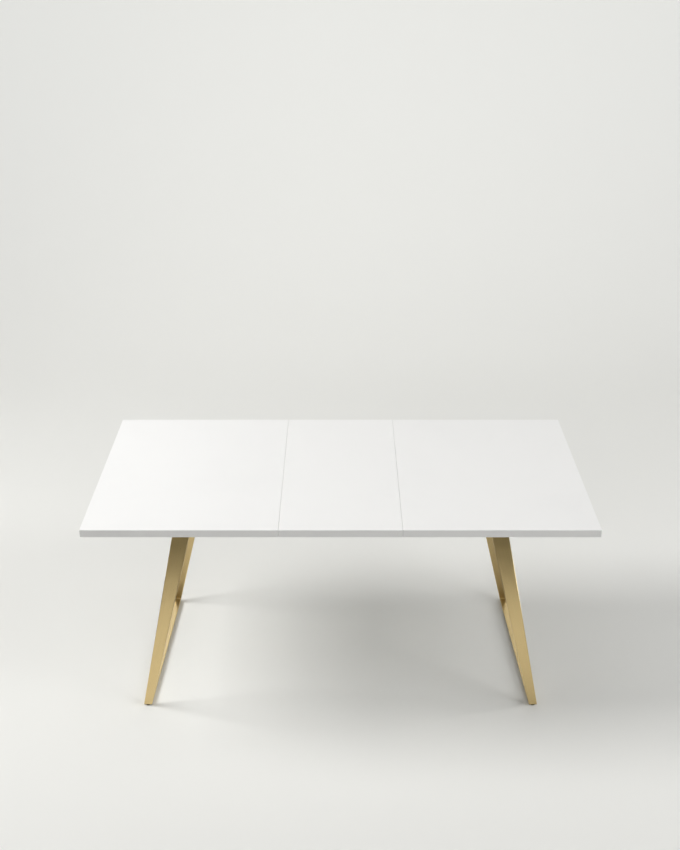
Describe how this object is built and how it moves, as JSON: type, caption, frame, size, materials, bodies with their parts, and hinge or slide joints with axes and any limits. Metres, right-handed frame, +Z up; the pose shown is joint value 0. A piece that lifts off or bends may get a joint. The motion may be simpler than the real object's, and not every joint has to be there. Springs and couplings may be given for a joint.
{
  "type": "extendable dining table",
  "caption": "Rectangular white dining table with a lift-out leaf between two end panels, on leaning brass-coloured flat-bar leg frames, with geared slides under the top.",
  "frame": {"origin": "on the floor, under the middle of the table top", "axes": "+X along the table, towards the right end as seen from the front; the front long side faces -Y; +Z up"},
  "size_m": [1.68, 0.9, 0.75],
  "materials": {
    "white_lacquer": "matt white lacquer on board",
    "brushed_brass": "satin brushed",
    "anodised_aluminium": "satin anodised extrusion",
    "zinc_steel": "bright zinc plated",
    "black_steel": "fine black powder coat",
    "white_nylon": "moulded nylon",
    "dark_rubber": "matt"
  },
  "bodies": {
    "centre_frame": {"front_centre_beam": "anodised_aluminium", "left_cross_tie": "black_steel", "left_front_leaf_pad": "dark_rubber", "left_rear_leaf_pad": "dark_rubber", "left_travel_stop": "white_nylon", "pinion_axle": "zinc_steel", "pinion_tray": "zinc_steel", "rear_centre_beam": "anodised_aluminium", "right_cross_tie": "black_steel", "right_front_leaf_pad": "dark_rubber", "right_rear_leaf_pad": "dark_rubber", "right_travel_stop": "white_nylon"},
    "left_end": {"left_floor_rail": "brushed_brass", "left_front_glide": "dark_rubber", "left_front_leg": "brushed_brass", "left_front_leg_plate": "black_steel", "left_front_leg_screw_inner": "zinc_steel", "left_front_leg_screw_middle": "zinc_steel", "left_front_leg_screw_outer": "zinc_steel", "left_front_slide_channel": "anodised_aluminium", "left_front_slide_liner": "white_nylon", "left_lock_pivot": "zinc_steel", "left_rack": "white_nylon", "left_rack_bracket": "black_steel", "left_rear_glide": "dark_rubber", "left_rear_leg": "brushed_brass", "left_rear_leg_plate": "black_steel", "left_rear_leg_screw_inner": "zinc_steel", "left_rear_leg_screw_middle": "zinc_steel", "left_rear_leg_screw_outer": "zinc_steel", "left_rear_slide_channel": "anodised_aluminium", "left_rear_slide_liner": "white_nylon", "left_top_panel": "white_lacquer"},
    "right_end": {"right_floor_rail": "brushed_brass", "right_front_glide": "dark_rubber", "right_front_leg": "brushed_brass", "right_front_leg_plate": "black_steel", "right_front_leg_screw_inner": "zinc_steel", "right_front_leg_screw_middle": "zinc_steel", "right_front_leg_screw_outer": "zinc_steel", "right_front_slide_channel": "anodised_aluminium", "right_front_slide_liner": "white_nylon", "right_lock_pivot": "zinc_steel", "right_rack": "white_nylon", "right_rack_bracket": "black_steel", "right_rear_glide": "dark_rubber", "right_rear_leg": "brushed_brass", "right_rear_leg_plate": "black_steel", "right_rear_leg_screw_inner": "zinc_steel", "right_rear_leg_screw_middle": "zinc_steel", "right_rear_leg_screw_outer": "zinc_steel", "right_rear_slide_channel": "anodised_aluminium", "right_rear_slide_liner": "white_nylon", "right_top_panel": "white_lacquer"},
    "leaf": {"front_leaf_peg": "zinc_steel", "leaf_panel": "white_lacquer", "rear_leaf_peg": "zinc_steel"},
    "pinion": {"pinion": "white_nylon"},
    "left_lock": {"left_lock_lever": "black_steel"},
    "right_lock": {"right_lock_lever": "black_steel"}
  },
  "joints": [
    {"name": "left_end_slide", "type": "slide", "parent": "centre_frame", "child": "left_end", "axis": [-1, 0, 0], "range_m": [0, 0.03]},
    {"name": "right_end_slide", "type": "slide", "parent": "centre_frame", "child": "right_end", "axis": [1, 0, 0], "range_m": [0, 0.03]},
    {"name": "pinion_spin", "type": "hinge", "parent": "centre_frame", "child": "pinion", "pos_m": [0, 0, 0.706], "axis": [0, 0, 1], "range_deg": [-108, 0]},
    {"name": "leaf_lift", "type": "slide", "parent": "centre_frame", "child": "leaf", "axis": [0, 0, 1], "range_m": [0, 0.2]},
    {"name": "left_lock_turn", "type": "hinge", "parent": "left_end", "child": "left_lock", "pos_m": [-0.241, -0.256, 0.68], "axis": [0, 0, 1], "range_deg": [0, 90]},
    {"name": "right_lock_turn", "type": "hinge", "parent": "right_end", "child": "right_lock", "pos_m": [0.241, -0.256, 0.68], "axis": [0, 0, 1], "range_deg": [-90, 0]}
  ],
  "couplings": [
    {"joint": "right_end_slide", "follows": "left_end_slide", "ratio": 1},
    {"joint": "pinion_spin", "follows": "left_end_slide", "rad_per_m": -62.5}
  ]
}
